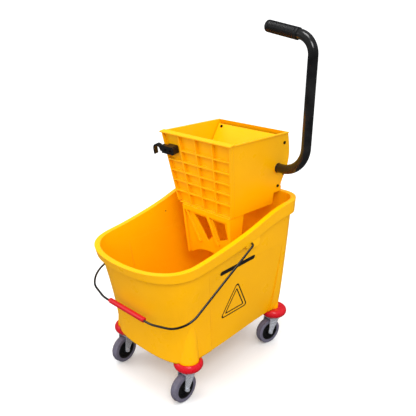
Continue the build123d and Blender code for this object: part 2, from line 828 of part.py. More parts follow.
def make_press_plate():
    """Press plate: hinged at its foot, upright low down and leaning back higher up, ribbed behind."""
    front = PLATE_BACK - SHEET
    with BuildPart() as plate:
        with BuildSketch(Plane.YZ):
            with BuildLine():
                Polyline(
                    (HINGE_Y - 8, HINGE_Z),
                    (front, 535),
                    (front + 5, 546),
                    (178, 622),
                    (182, 618),
                    (PLATE_BACK + 4, 542),
                    (PLATE_BACK, 533),
                    (PLATE_BACK, HINGE_Z + 12),
                    (HINGE_Y + 8, HINGE_Z),
                    close=True,
                )
            make_face()
            with Locations((HINGE_Y, HINGE_Z)):
                Circle(8.5)
        extrude(amount=160, both=True)
        add(taper_prism(SHEET + 3, BOX_BOTTOM, BOX_TOP + 20), mode=Mode.INTERSECT)
        with BuildSketch(Plane.YZ):
            with Locations((HINGE_Y, HINGE_Z)):
                Circle(HINGE_RADIUS + FIT_GAP)
        extrude(amount=160, both=True, mode=Mode.SUBTRACT)
        for side in (1, -1):
            with BuildSketch(Plane.YZ.offset(side * (GEAR_IN - 0.2))):
                with Locations((HINGE_Y, HINGE_Z)):
                    Circle(13)
            extrude(amount=side * 30, mode=Mode.SUBTRACT)
        with BuildSketch(Plane.XZ.offset(-90)):
            with Locations((0, 505)):
                with GridLocations(24, 24, 6, 3):
                    Circle(3)
        extrude(amount=-45, mode=Mode.SUBTRACT)
        for x in (-60, -20, 20, 60):
            with BuildSketch(Plane.YZ.offset(x - 1.5)):
                root = PLATE_BACK - 1
                Polygon((root, 475), (root, 534), (154, 584), (130, 545), (root + 8, 500), align=None)
            extrude(amount=3)
    return plate


def make_hinge_pin():
    """Steel pin across the foot of the box, let into both side walls."""
    with BuildPart() as pin:
        with BuildSketch(Plane.YZ):
            with Locations((HINGE_Y, HINGE_Z)):
                Circle(HINGE_RADIUS)
        extrude(amount=HINGE_HALF - 0.2, both=True)
    return pin


def make_bush(side):
    """Flanged bush in a side wall for the handle shaft."""
    face = side * BUSH_FACE
    with BuildPart() as bush:
        with BuildSketch(Plane.YZ.offset(face)):
            with Locations((SHAFT_Y, SHAFT_Z)):
                Circle(BUSH_RADIUS + 2.5)
        extrude(amount=side * 3)
        fillet(bush.edges().filter_by(GeomType.CIRCLE).sort_by(Axis.X)[-1 if side > 0 else 0], radius=1.2)
        with BuildSketch(Plane.YZ.offset(face)):
            with Locations((SHAFT_Y, SHAFT_Z)):
                Circle(BUSH_RADIUS)
        extrude(amount=-side * 11)
        with BuildSketch(Plane.YZ):
            with Locations((SHAFT_Y, SHAFT_Z)):
                Circle(SHAFT_RADIUS + FIT_GAP)
        extrude(amount=160, both=True, mode=Mode.SUBTRACT)
    return bush


def make_shaft():
    """Steel handle shaft: journal length, and a larger plug that fills the foot of the handle tube."""
    with BuildPart() as shaft:
        with BuildSketch(Plane.YZ.offset(-BUSH_FACE - 5)):
            with Locations((SHAFT_Y, SHAFT_Z)):
                Circle(SHAFT_RADIUS)
        extrude(amount=TUBE_START + BUSH_FACE + 10)
        with BuildSketch(Plane.YZ.offset(TUBE_START)):
            with Locations((SHAFT_Y, SHAFT_Z)):
                Circle(TUBE_BORE)
        extrude(amount=10.8)
        with BuildSketch(Plane.XY.offset(SHAFT_Z)):
            with Locations((BOLT_X, SHAFT_Y)):
                Circle(PIN_RADIUS)
        extrude(amount=20, both=True, mode=Mode.SUBTRACT)
    return shaft


def make_return_spring():
    """Torsion spring round the shaft, beside the right-hand pinion, that stands the handle up again."""
    coil = SHAFT_RADIUS + 4
    with BuildPart() as spring:
        with BuildLine() as coils:
            Helix(pitch=4.4, height=26.4, radius=coil, center=(46, SHAFT_Y, SHAFT_Z), direction=(1, 0, 0))
        with BuildSketch(Plane(origin=coils.line @ 0, z_dir=coils.line % 0)):
            Circle(1.6)
        sweep(is_frenet=True)
    return spring


# ============================================================================================
# Handle
# ============================================================================================
def handle_points():
    """Corners of the handle's centre line before bending, across the bucket and upwards."""
    return [
        (TUBE_START, SHAFT_Z),
        (HANDLE_X, SHAFT_Z),
        (HANDLE_X + 5.5, HANDLE_CORNER_Z),
        (GRIP_END_X, HANDLE_CORNER_Z + GRIP_RISE),
    ]


def make_handle_tube():
    """Bent handle tube, hollow, from the wall up and over to the grip."""
    plane = Plane(origin=(0, SHAFT_Y, 0), x_dir=(1, 0, 0), z_dir=(0, -1, 0))
    with BuildPart() as tube:
        with BuildLine(plane) as route:
            FilletPolyline(*handle_points(), radius=[70, 48])
        with BuildSketch(Plane(origin=route.line @ 0, z_dir=route.line % 0)):
            Circle(TUBE_RADIUS)
            Circle(TUBE_BORE, mode=Mode.SUBTRACT)
        sweep()
        with BuildSketch(Plane.XY.offset(SHAFT_Z)):
            with Locations((BOLT_X, SHAFT_Y)):
                Circle(PIN_RADIUS)
        extrude(amount=20, both=True, mode=Mode.SUBTRACT)
    return tube


def make_handle_grip():
    """Grip sleeve over the end of the tube, closed and rounded at its tip."""
    corner, tip = handle_points()[2:]
    run = Vector(tip[0] - corner[0], 0, tip[1] - corner[1])
    end = Vector(tip[0], SHAFT_Y, tip[1])
    along = Plane(origin=end - run.normalized() * GRIP_LENGTH, z_dir=run.normalized())
    with BuildPart() as grip:
        with BuildSketch(along):
            Circle(GRIP_RADIUS)
        extrude(amount=GRIP_LENGTH + 4)
        fillet(grip.faces().sort_by(Axis.X)[0].edges(), radius=5)
        with BuildSketch(along):
            Circle(TUBE_RADIUS)
        extrude(amount=GRIP_LENGTH, mode=Mode.SUBTRACT)
    return grip


def make_roll_pin():
    """Slotted roll pin that locks the tube to the shaft."""
    with BuildPart() as pin:
        with BuildSketch(Plane.XY.offset(SHAFT_Z - TUBE_RADIUS)):
            with Locations((BOLT_X, SHAFT_Y)):
                Circle(PIN_RADIUS)
                Circle(PIN_RADIUS - 1, mode=Mode.SUBTRACT)
                with Locations((PIN_RADIUS - 0.5, 0)):
                    Rectangle(2, 0.8, mode=Mode.SUBTRACT)
        extrude(amount=2 * TUBE_RADIUS)
    return pin


# ============================================================================================
# Small parts
# ============================================================================================
def make_clip():
    """Handle clip: a block in the tall pocket, and a downturned jaw that stands out past the side wall."""
    outer = CLIP_RADIUS + 5
    with BuildPart() as clip:
        with BuildSketch(front_plane(RIB_DEPTH)):
            with Locations((-92, CLIP_LEVEL + 6)):
                RectangleRounded(36, 22, 5)
        extrude(amount=RIB_DEPTH + 0.2)
        with BuildSketch(front_plane(-0.2)):
            with Locations((-98.5, CLIP_LEVEL + 6)):
                RectangleRounded(51, 22, 5.5)
            with Locations((CLIP_X, CLIP_LEVEL)):
                Circle(outer)
            with Locations((CLIP_X - outer + 2.5, CLIP_LEVEL - 7)):
                Rectangle(5, 14)
            with Locations((CLIP_X, CLIP_LEVEL)):
                Circle(CLIP_RADIUS, mode=Mode.SUBTRACT)
            with Locations((CLIP_X + 2.5, CLIP_LEVEL - 20)):
                Rectangle(2 * CLIP_RADIUS + 5, 40, mode=Mode.SUBTRACT)
        extrude(amount=12)
    return clip


def make_screws(places, radius, length):
    """Group of identical round-headed screws standing on planes given with their outward direction."""
    with BuildPart() as screws:
        for plane in places:
            with BuildSketch(plane):
                Circle(radius)
            extrude(amount=radius * 0.55)
            with BuildSketch(plane):
                Circle(radius * 0.5)
            extrude(amount=-length)
    return screws


def side_wall_plane(side, y, z):
    """Plane on the outside of a side wall, facing outwards."""
    taper = atan2(TOP_HALF - BOTTOM_HALF, BOX_TOP - BOX_BOTTOM)
    outwards = (side * cos(taper), 0, -sin(taper))
    return Plane(origin=(side * half_width(z), y, z), x_dir=(0, 1, 0), z_dir=outwards)


def plate_plane(x, down):
    """Plane on the front of the press plate's leaning upper part, a distance down from its top edge."""
    rise = Vector(0, 178 - PLATE_BACK + SHEET - 5, 622 - 546).normalized()
    face = Plane(origin=Vector(x, 178, 622) - rise * down, x_dir=(1, 0, 0), z_dir=(0, -rise.Z, rise.Y))
    return face


housing_screw_places = [
    side_wall_plane(side, y, z) for side in (1, -1) for y, z in ((196, 514), (180, 604), (178, 482))
]
plate_screw_places = [plate_plane(x, down) for x in (-100, 100) for down in (8, 60)]
clip_face = front_plane(-12.2)
clip_screw_places = [
    clip_face.shift_origin(clip_face.from_local_coords((x, CLIP_LEVEL + 6, 0))) for x in (-86, -104)
]

save(make_bucket(), "bucket")
save(make_socket(), "stem_sockets")
save(make_bail_wire(), "bail_wire")
save(make_bail_grip(), "bail_grip")
place_casters()
save(make_housing(), "wringer_housing")
save(make_front_wall(), "ribbed_front_wall")
save(make_skirt(), "lower_skirt")
save(make_rear_cover(), "rear_cover")
save(make_rim_hooks(), "rim_hooks")
save(make_press_plate(), "press_plate")
save(make_hinge_pin(), "hinge_pin")
for side, name in ((1, "right"), (-1, "left")):
    save(make_sector(side), f"gear_sector_{name}")
    save(make_pinion(side), f"pinion_{name}")
    save(make_bush(side), f"shaft_bush_{name}")
save(make_shaft(), "handle_shaft")
save(make_return_spring(), "return_spring")
save(make_handle_tube(), "handle_tube")
save(make_handle_grip(), "handle_grip")
save(make_roll_pin(), "handle_roll_pin")
save(make_clip(), "handle_clip")
save(make_screws(housing_screw_places, 4, 3.5), "housing_screws")
save(make_screws(plate_screw_places, 4, 3.5), "plate_screws")
save(make_screws(clip_screw_places, 3, 8), "clip_screws")
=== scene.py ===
import json
import math

import bmesh
import bpy
from bpy.props import FloatProperty, FloatVectorProperty, IntProperty, PointerProperty
from mathutils import Matrix, Vector
from mathutils.bvhtree import BVHTree


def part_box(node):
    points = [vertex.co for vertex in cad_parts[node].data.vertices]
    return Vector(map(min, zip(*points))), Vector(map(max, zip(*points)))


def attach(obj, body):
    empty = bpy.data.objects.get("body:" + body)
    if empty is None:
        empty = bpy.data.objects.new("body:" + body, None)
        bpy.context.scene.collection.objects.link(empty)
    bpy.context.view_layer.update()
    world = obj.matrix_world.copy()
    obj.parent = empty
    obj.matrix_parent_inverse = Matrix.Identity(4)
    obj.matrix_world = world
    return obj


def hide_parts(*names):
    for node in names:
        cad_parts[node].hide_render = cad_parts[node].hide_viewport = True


bl_info = {
    "name": "Mop bucket with side-press wringer",
    "version": (1, 0, 0),
    "blender": (4, 5, 0),
    "location": "3D View > Sidebar > Mop bucket",
    "description": "Finishes, moulded details and stage for a wheeled mop bucket with its wringer",
    "category": "Object",
}

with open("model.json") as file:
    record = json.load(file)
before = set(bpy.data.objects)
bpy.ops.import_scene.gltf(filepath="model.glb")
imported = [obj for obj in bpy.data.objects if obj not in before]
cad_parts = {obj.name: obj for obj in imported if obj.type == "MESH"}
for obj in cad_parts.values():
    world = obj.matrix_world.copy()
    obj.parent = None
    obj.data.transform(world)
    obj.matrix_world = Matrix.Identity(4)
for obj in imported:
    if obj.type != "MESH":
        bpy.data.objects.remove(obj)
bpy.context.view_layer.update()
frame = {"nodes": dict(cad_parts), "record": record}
RECORD = frame["record"]
NODE_SLOT = {row["node"]: row["material_slot"] for row in RECORD["subparts"]}

# ---- Fixed sizes, in metres unless said otherwise ------------------------------------------
# The ringed grip: a sleeve with one closed end
GRIP_BORE = 0.0128
GRIP_CAP = 0.004
GRIP_LIP = 0.0012
GRIP_PLAIN_START = 0.009
GRIP_PLAIN_END = 0.014
GRIP_FACETS = 48

# The printed marks, as (y, z) on the side of the tub
TRIANGLE = [(-0.024, 0.281), (-0.079, 0.187), (0.030, 0.187)]
INNER_SHARE = 0.70
TRIANGLE_ROUNDING = {"outer": 0.007, "inner": 0.003}
BAR_FRONT_LOW = (-0.096, 0.322)
BAR_REAR_LOW = (0.033, 0.329)
LONGEST_EDGE = 0.012
RAY_START = 0.3

# The stage: the floor and the surround are dimmer to diffuse and glossy rays than to the camera
FLOOR_RADIUS = 9.0
FLOOR_PALE = ((0.95, 0.95, 0.95), (0.98, 0.98, 0.98))
FLOOR_GREY = {"Is Diffuse Ray": 0.34, "Is Glossy Ray": 0.07}
SURROUND_TINT = (0.9, 0.93, 1.0, 1.0)
SURROUND_GLOSS = 0.09
LAMP_AIM = (0.0, 0.0, 0.4)
LAMPS = {
    "key": ((1.9, -1.5, 2.4), 1.1),
    "fill": ((-1.9, -2.0, 1.7), 0.7),
    "top": ((0.3, -0.5, 2.7), 1.0),
}
CAMERA_PLACE = (0.994, -0.991, 0.9535)
CAMERA_DIP = 0.353  # radians below level
CAMERA_HEADING = 0.779  # radians
CAMERA_LENS = 48.62  # millimetres, on a 36 mm sensor

# Finishes
BLACK = (0.006, 0.006, 0.0065)
CHIPPED = (0.09, 0.09, 0.10)
DUST = (0.22, 0.21, 0.24)


# ---- Settings ------------------------------------------------------------------------------
class BucketColours(bpy.types.PropertyGroup):
    """Colours of the moulded, rubber and metal pieces."""

    tub: FloatVectorProperty(
        name="Tub and wringer",
        description="Yellow of the moulded tub and wringer",
        subtype="COLOR",
        size=3,
        min=0,
        max=1,
        default=(1.0, 0.47, 0.0),
    )
    bumper: FloatVectorProperty(
        name="Bumpers and bail grip",
        description="Red of the bumpers and of the bail grip",
        subtype="COLOR",
        size=3,
        min=0,
        max=1,
        default=(0.62, 0.002, 0.012),
    )
    tyre: FloatVectorProperty(
        name="Tyres",
        description="Grey of the non-marking tyres",
        subtype="COLOR",
        size=3,
        min=0,
        max=1,
        default=(0.135, 0.125, 0.175),
    )
    zinc: FloatVectorProperty(
        name="Forks and stems",
        description="Bright zinc of the caster steel",
        subtype="COLOR",
        size=3,
        min=0,
        max=1,
        default=(0.70, 0.73, 0.80),
    )
    paint: FloatVectorProperty(
        name="Handle and bail",
        description="Black of the coated steel",
        subtype="COLOR",
        size=3,
        min=0,
        max=1,
        default=(0.002, 0.002, 0.0025),
    )


class GripSizes(bpy.types.PropertyGroup):
    """Sizes of the rubber grip on the pull handle."""

    radius: FloatProperty(
        name="Radius",
        description="Outer radius over the ridges",
        unit="LENGTH",
        min=0.013,
        max=0.0155,
        default=0.0154,
    )
    groove: FloatProperty(
        name="Groove depth",
        description="Depth of the rings between the ridges",
        unit="LENGTH",
        min=0.0,
        max=0.002,
        default=0.0009,
    )
    rings: IntProperty(
        name="Rings",
        description="Number of ridges along the grip",
        min=4,
        max=40,
        default=18,
    )
    tilt: FloatProperty(
        name="Tilt",
        description="Rise of the grip towards its tip",
        subtype="ANGLE",
        default=math.atan2(23.5, 140.5),
    )


class LabelSizes(bpy.types.PropertyGroup):
    """Sizes of the plain printed marks on the tub's sides."""

    line: FloatProperty(
        name="Line width",
        description="Width of the triangle's printed outline",
        unit="LENGTH",
        default=0.0022,
    )
    bar: FloatProperty(
        name="Bar height",
        description="Height of the plain bar above the triangle",
        unit="LENGTH",
        default=0.012,
    )
    film: FloatProperty(
        name="Film thickness",
        description="How far the print stands on the wall",
        unit="LENGTH",
        default=0.00025,
    )


class StageSettings(bpy.types.PropertyGroup):
    """Light and floor of the stage."""

    key: FloatProperty(
        name="Key light",
        description="Power of the large soft light",
        unit="POWER",
        default=26.0,
    )
    fill: FloatProperty(
        name="Fill light",
        description="Power of the light from the other side",
        unit="POWER",
        default=10.0,
    )
    top: FloatProperty(
        name="Top light",
        description="Power of the light over the bucket",
        unit="POWER",
        default=18.0,
    )
    sky: FloatProperty(
        name="Surround",
        description="Brightness of the surround",
        default=1.25,
    )


# ---- Material building ---------------------------------------------------------------------
class Nodes:
    """Small helper that adds and joins shader nodes."""

    def __init__(self, name):
        self.material = bpy.data.materials.new(name)
        self.material.use_nodes = True
        self.tree = self.material.node_tree
        self.tree.nodes.clear()
        self.out = self.tree.nodes.new("ShaderNodeOutputMaterial")
        self.shader = self.tree.nodes.new("ShaderNodeBsdfPrincipled")
        self.join(self.shader.outputs[0], self.out.inputs[0])
        self.place = self.tree.nodes.new("ShaderNodeTexCoord").outputs["Object"]

    def add(self, kind, **values):
        node = self.tree.nodes.new(kind)
        for key, value in values.items():
            setattr(node, key, value)
        return node

    def join(self, source, target):
        self.tree.links.new(source, target)

    def scaled(self, scale):
        """Object coordinates stretched by a scale on each axis."""
        node = self.add("ShaderNodeMapping")
        node.inputs["Scale"].default_value = scale
        self.join(self.place, node.inputs["Vector"])
        return node.outputs[0]

    def noise(self, scale, detail=2.0, place=None):
        node = self.add("ShaderNodeTexNoise")
        node.inputs["Scale"].default_value = scale
        node.inputs["Detail"].default_value = detail
        self.join(place or self.place, node.inputs["Vector"])
        return node.outputs["Fac"]

    def spread(self, source, low_in, high_in, low, high):
        node = self.add("ShaderNodeMapRange")
        ends = {"From Min": low_in, "From Max": high_in, "To Min": low, "To Max": high}
        for slot, value in ends.items():
            node.inputs[slot].default_value = value
        self.join(source, node.inputs["Value"])
        return node.outputs[0]

    def maths(self, operation, first, second):
        node = self.add("ShaderNodeMath", operation=operation)
        for index, value in enumerate((first, second)):
            if isinstance(value, (int, float)):
                node.inputs[index].default_value = value
            else:
                self.join(value, node.inputs[index])
        return node.outputs[0]

    def mix(self, factor, first, second):
        """Colour between two, each a colour or a socket."""
        node = self.add("ShaderNodeMix", data_type="RGBA")
        self.join(factor, node.inputs["Factor"])
        for name, value in (("A", first), ("B", second)):
            socket = [s for s in node.inputs if s.name == name and s.type == "RGBA"][0]
            if isinstance(value, tuple):
                socket.default_value = (*value, 1.0)
            else:
                self.join(value, socket)
        return [s for s in node.outputs if s.type == "RGBA"][0]

    def soft_edge(self, radius):
        node = self.add("ShaderNodeBevel", samples=4)
        node.inputs["Radius"].default_value = radius
        return node.outputs[0]

    def edge_mask(self, soft):
        """How far the softened normal leaves the surface normal: high along corners."""
        facing = self.add("ShaderNodeNewGeometry").outputs["Normal"]
        dot = self.add("ShaderNodeVectorMath", operation="DOT_PRODUCT")
        self.join(soft, dot.inputs[0])
        self.join(facing, dot.inputs[1])
        away = self.maths("SUBTRACT", 1.0, dot.outputs["Value"])
        return self.spread(away, 0.02, 0.25, 0.0, 1.0)

    def bump(self, height, depth, normal, strength):
        node = self.add("ShaderNodeBump")
        node.inputs["Distance"].default_value = depth
        node.inputs["Strength"].default_value = strength
        self.join(height, node.inputs["Height"])
        self.join(normal, node.inputs["Normal"])
        return node.outputs[0]


def tint(colour, gain):
    """A colour made lighter or darker, kept within range."""
    return tuple(max(0.0, min(1.0, part * gain)) for part in colour)


def lift(colour, amount):
    """A colour moved towards white."""
    return tuple(part + (1.0 - part) * amount for part in colour)


def moulded(name, colour, rough, drift, grain, depth, edge, pale, specular=0.5, coat=0.0):
    """Moulded plastic or rubber: slow colour drift, fine grain, scuffed paler corners and uneven gloss."""
    n = Nodes(name)
    soft = n.soft_edge(edge)
    slow = n.spread(n.noise(7.0, 3.0), 0.35, 0.65, 0.0, 1.0)
    base = n.mix(slow, tint(colour, 1.0 - drift), tint(colour, 1.0 + drift))
    specks = n.spread(n.noise(420.0, 1.0), 0.62, 0.80, 0.0, 0.35)
    base = n.mix(specks, base, tint(colour, 1.0 - 2.0 * drift))
    worn = n.maths("MULTIPLY", n.edge_mask(soft), n.spread(n.noise(60.0, 4.0), 0.40, 0.70, 0.1, 1.0))
    base = n.mix(n.maths("MULTIPLY", worn, pale), base, lift(colour, 0.25))
    n.join(base, n.shader.inputs["Base Color"])
    uneven = n.spread(n.noise(24.0, 4.0), 0.3, 0.7, rough[0], rough[1])
    rubbed = n.maths("ADD", uneven, n.maths("MULTIPLY", worn, 0.12))
    n.join(rubbed, n.shader.inputs["Roughness"])
    waves = n.bump(n.noise(11.0, 1.0), 0.0006, soft, 0.35)
    n.join(n.bump(n.noise(grain, 2.0), depth, waves, 0.6), n.shader.inputs["Normal"])
    n.shader.inputs["Specular IOR Level"].default_value = specular
    n.shader.inputs["Coat Weight"].default_value = coat
    n.shader.inputs["Coat Roughness"].default_value = 0.08
    return n.material


def steel(name, colour, rough, stretch, depth, dark, metal=1.0):
    """Plated or turned steel: fine drawn lines, cloudy plating and dulled corners."""
    n = Nodes(name)
    soft = n.soft_edge(0.0006)
    cloud = n.spread(n.noise(38.0, 4.0), 0.35, 0.68, 0.0, 1.0)
    base = n.mix(cloud, tint(colour, 1.0 - dark), colour)
    lines = n.noise(1.0, 3.0, n.scaled(stretch))
    base = n.mix(n.spread(lines, 0.45, 0.75, 0.0, 0.35), base, tint(colour, 0.62))
    n.join(base, n.shader.inputs["Base Color"])
    n.join(n.spread(lines, 0.3, 0.7, rough[0], rough[1]), n.shader.inputs["Roughness"])
    n.join(n.bump(lines, depth, soft, 0.5), n.shader.inputs["Normal"])
    n.shader.inputs["Metallic"].default_value = metal
    return n.material


def coated(name, colour, rough, peel, depth):
    """Powder-coated steel: orange-peel surface, small chips at corners and a clear gloss."""
    n = Nodes(name)
    soft = n.soft_edge(0.0008)
    slow = n.spread(n.noise(16.0, 3.0), 0.35, 0.65, 0.0, 1.0)
    base = n.mix(slow, colour, lift(colour, 0.012))
    worn = n.maths("MULTIPLY", n.edge_mask(soft), n.spread(n.noise(140.0, 4.0), 0.5, 0.7, 0.0, 0.6))
    base = n.mix(worn, base, CHIPPED)
    n.join(base, n.shader.inputs["Base Color"])
    n.join(n.spread(n.noise(30.0, 4.0), 0.3, 0.7, rough[0], rough[1]), n.shader.inputs["Roughness"])
    n.join(n.bump(n.noise(peel, 2.0), depth, soft, 0.5), n.shader.inputs["Normal"])
    n.shader.inputs["Coat Weight"].default_value = 0.35
    n.shader.inputs["Coat Roughness"].default_value = 0.12
    return n.material


def tyre_rubber(name, colour):
    """Grey tyre rubber with slow colour drift, uneven gloss, a fine grain and trodden-in dust."""
    n = Nodes(name)
    soft = n.soft_edge(0.001)
    slow = n.spread(n.noise(30.0, 3.0), 0.35, 0.65, 0.0, 1.0)
    base = n.mix(slow, tint(colour, 0.86), tint(colour, 1.12))
    dust = n.spread(n.noise(160.0, 5.0), 0.52, 0.72, 0.0, 0.4)
    base = n.mix(dust, base, DUST)
    n.join(base, n.shader.inputs["Base Color"])
    n.join(n.spread(n.noise(70.0, 3.0), 0.3, 0.7, 0.38, 0.58), n.shader.inputs["Roughness"])
    n.join(n.bump(n.noise(900.0, 3.0), 0.0001, soft, 0.7), n.shader.inputs["Normal"])
    return n.material


def make_finishes():
    """One material for each finish slot."""
    colours = bpy.context.scene.bucket_colours
    tub, red = tuple(colours.tub), tuple(colours.bumper)
    paint, zinc = tuple(colours.paint), tuple(colours.zinc)
    return {
        "yellow_plastic": moulded(
            "yellow_plastic",
            tub,
            rough=(0.26, 0.40),
            drift=0.03,
            grain=1400,
            depth=0.00006,
            edge=0.0012,
            pale=0.22,
            specular=0.20,
        ),
        "red_rubber": moulded(
            "red_rubber",
            red,
            rough=(0.22, 0.36),
            drift=0.06,
            grain=900,
            depth=0.00008,
            edge=0.0012,
            pale=0.25,
            coat=0.15,
        ),
        "red_grip": moulded(
            "red_grip",
            red,
            rough=(0.28, 0.42),
            drift=0.06,
            grain=900,
            depth=0.00008,
            edge=0.0010,
            pale=0.25,
        ),
        "black_plastic": moulded(
            "black_plastic",
            BLACK,
            rough=(0.34, 0.50),
            drift=0.2,
            grain=1100,
            depth=0.00010,
            edge=0.0008,
            pale=0.12,
        ),
        "black_nylon": moulded(
            "black_nylon",
            BLACK,
            rough=(0.40, 0.56),
            drift=0.2,
            grain=800,
            depth=0.00008,
            edge=0.0006,
            pale=0.15,
        ),
        "grey_nylon": moulded(
            "grey_nylon",
            (0.42, 0.42, 0.40),
            rough=(0.40, 0.55),
            drift=0.06,
            grain=800,
            depth=0.00006,
            edge=0.0006,
            pale=0.2,
        ),
        "grey_tyre": tyre_rubber("grey_tyre", tuple(colours.tyre)),
        "zinc_steel": steel(
            "zinc_steel",
            zinc,
            rough=(0.18, 0.34),
            stretch=(60, 60, 900),
            depth=0.00002,
            dark=0.18,
            metal=0.45,
        ),
        "bright_steel": steel(
            "bright_steel",
            (0.62, 0.62, 0.64),
            rough=(0.16, 0.30),
            stretch=(900, 60, 60),
            depth=0.00002,
            dark=0.15,
        ),
        "spring_steel": steel(
            "spring_steel",
            (0.20, 0.20, 0.22),
            rough=(0.30, 0.45),
            stretch=(300, 300, 300),
            depth=0.00002,
            dark=0.3,
        ),
        "black_wire": coated("black_wire", paint, rough=(0.26, 0.40), peel=1200, depth=0.00006),
        "black_tube": coated("black_tube", paint, rough=(0.16, 0.26), peel=700, depth=0.00006),
        "black_grip": moulded(
            "black_grip",
            BLACK,
            rough=(0.36, 0.52),
            drift=0.25,
            grain=1600,
            depth=0.00025,
            edge=0.0006,
            pale=0.10,
        ),
        "black_screw": steel(
            "black_screw",
            (0.03, 0.03, 0.032),
            rough=(0.34, 0.50),
            stretch=(400, 400, 400),
            depth=0.00002,
            dark=0.3,
        ),
    }


FINISHES = {}


def finish(slot):
    """The material of a slot, made the first time that one is asked for."""
    if not FINISHES:
        FINISHES.update(make_finishes())
    return FINISHES[slot]


def dress(names):
    """Give carried-over nodes their finish."""
    for name in names:
        mesh = frame["nodes"][name].data
        mesh.materials.clear()
        mesh.materials.append(finish(NODE_SLOT[name]))


def named(*starts):
    """Nodes whose names begin with any of the given words."""
    return [name for name in sorted(frame["nodes"]) if name.startswith(starts)]


def settle(bm, name, body, slot, smooth=True):
    """Turn a bmesh into a piece that rides on a body and carries its slot's finish."""
    bmesh.ops.remove_doubles(bm, verts=bm.verts, dist=1e-6)
    bmesh.ops.recalc_face_normals(bm, faces=bm.faces)
    for face in bm.faces:
        face.smooth = smooth
    mesh = bpy.data.meshes.new(name)
    bm.to_mesh(mesh)
    bm.free()
    piece = bpy.data.objects.new(name, mesh)
    bpy.context.scene.collection.objects.link(piece)
    mesh.materials.append(finish(slot))
    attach(piece, body)
    return piece


def spun(profile):
    """Solid of revolution about local Z from (radius, height) points."""
    bm = bmesh.new()
    verts = [bm.verts.new((radius, 0.0, height)) for radius, height in profile]
    edges = [bm.edges.new(pair) for pair in zip(verts[:-1], verts[1:])]
    bmesh.ops.spin(
        bm,
        geom=verts + edges,
        cent=(0, 0, 0),
        axis=(0, 0, 1),
        angle=math.tau,
        steps=GRIP_FACETS,
        use_merge=True,
        use_duplicate=False,
    )
    return bm


# ---- Pieces --------------------------------------------------------------------------------
class BUCKET_OT_tub(bpy.types.Operator):
    """Finish the tub, its sockets and the bail"""

    bl_idname = "bucket.tub"
    bl_label = "Tub and bail"

    def execute(self, context):
        dress(named("bucket", "stem_sockets", "bail_"))
        return {"FINISHED"}


class BUCKET_OT_casters(bpy.types.Operator):
    """Finish the four casters and their bumpers"""

    bl_idname = "bucket.casters"
    bl_label = "Casters and bumpers"

    def execute(self, context):
        frames = ("stem_front", "stem_rear", "bumper_", "fork_", "swivel_cover_")
        wheels = ("tyre_", "hub_", "axle_bolt_")
        dress(named(*frames, *wheels))
        return {"FINISHED"}


class BUCKET_OT_wringer(bpy.types.Operator):
    """Finish the wringer box, its press plate and its gears"""

    bl_idname = "bucket.wringer"
    bl_label = "Wringer"

    def execute(self, context):
        dress(
            named(
                "wringer_",
                "ribbed_",
                "lower_",
                "rear_cover",
                "rim_hooks",
                "press_",
                "hinge_pin",
                "gear_",
                "pinion_",
                "shaft_bush",
                "return_spring",
                "handle_clip",
                "clip_screws",
                "housing_screws",
                "plate_screws",
            )
        )
        return {"FINISHED"}


class BUCKET_OT_handle(bpy.types.Operator):
    """Finish the pull handle and fit its ringed grip"""

    bl_idname = "bucket.handle"
    bl_label = "Pull handle"

    def execute(self, context):
        dress(named("handle_shaft", "handle_tube", "handle_grip", "handle_roll_pin"))
        sizes = context.scene.grip_sizes
        low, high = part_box("handle_grip")
        centre = (low + high) / 2
        length = (high.x - low.x - 2 * sizes.radius * math.sin(sizes.tilt)) / math.cos(sizes.tilt)
        profile = [(0.0, length - GRIP_CAP), (GRIP_BORE, length - GRIP_CAP), (GRIP_BORE, 0.0)]
        profile += [(sizes.radius - GRIP_LIP, 0.0), (sizes.radius, GRIP_LIP)]
        first, last = GRIP_PLAIN_START, length - GRIP_PLAIN_END
        pitch = (last - first) / sizes.rings
        for ring in range(sizes.rings):
            start = first + ring * pitch
            profile += [
                (sizes.radius, start),
                (sizes.radius - sizes.groove, start + 0.22 * pitch),
                (sizes.radius - sizes.groove, start + 0.50 * pitch),
                (sizes.radius, start + 0.72 * pitch),
            ]
        profile += [(sizes.radius, length - 0.006), (sizes.radius - 0.0008, length - 0.003)]
        profile += [(sizes.radius - 0.003, length - 0.0008), (0.009, length), (0.0, length)]
        bm = spun(profile)
        turn = Matrix.Rotation(-(math.pi / 2 - sizes.tilt), 4, "Y")
        shift = Matrix.Translation((0, 0, -length / 2))
        bmesh.ops.transform(bm, matrix=Matrix.Translation(centre) @ turn @ shift, verts=bm.verts)
        grip = settle(bm, "ringed_grip", "handle", "black_grip")
        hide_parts("handle_grip")
        return {"FINISHED"}


def wall_tree():
    """Search tree over the tub's surface."""
    mesh = frame["nodes"]["bucket"].data
    return BVHTree.FromPolygons([v.co for v in mesh.vertices], [tuple(p.vertices) for p in mesh.polygons])


def rounded_outline(corners, radius, steps=6):
    """Points round a closed outline with its corners rounded."""
    points = []
    count = len(corners)
    for index in range(count):
        here = Vector(corners[index])
        before = (Vector(corners[index - 1]) - here).normalized()
        after = (Vector(corners[(index + 1) % count]) - here).normalized()
        half = before.angle(after) / 2
        reach = radius / math.tan(half)
        centre = here + (before + after).normalized() * (radius / math.sin(half))
        start = here + before * reach - centre
        end = here + after * reach - centre
        for step in range(steps + 1):
            points.append(centre + start.lerp(end, step / steps).normalized() * radius)
    return points


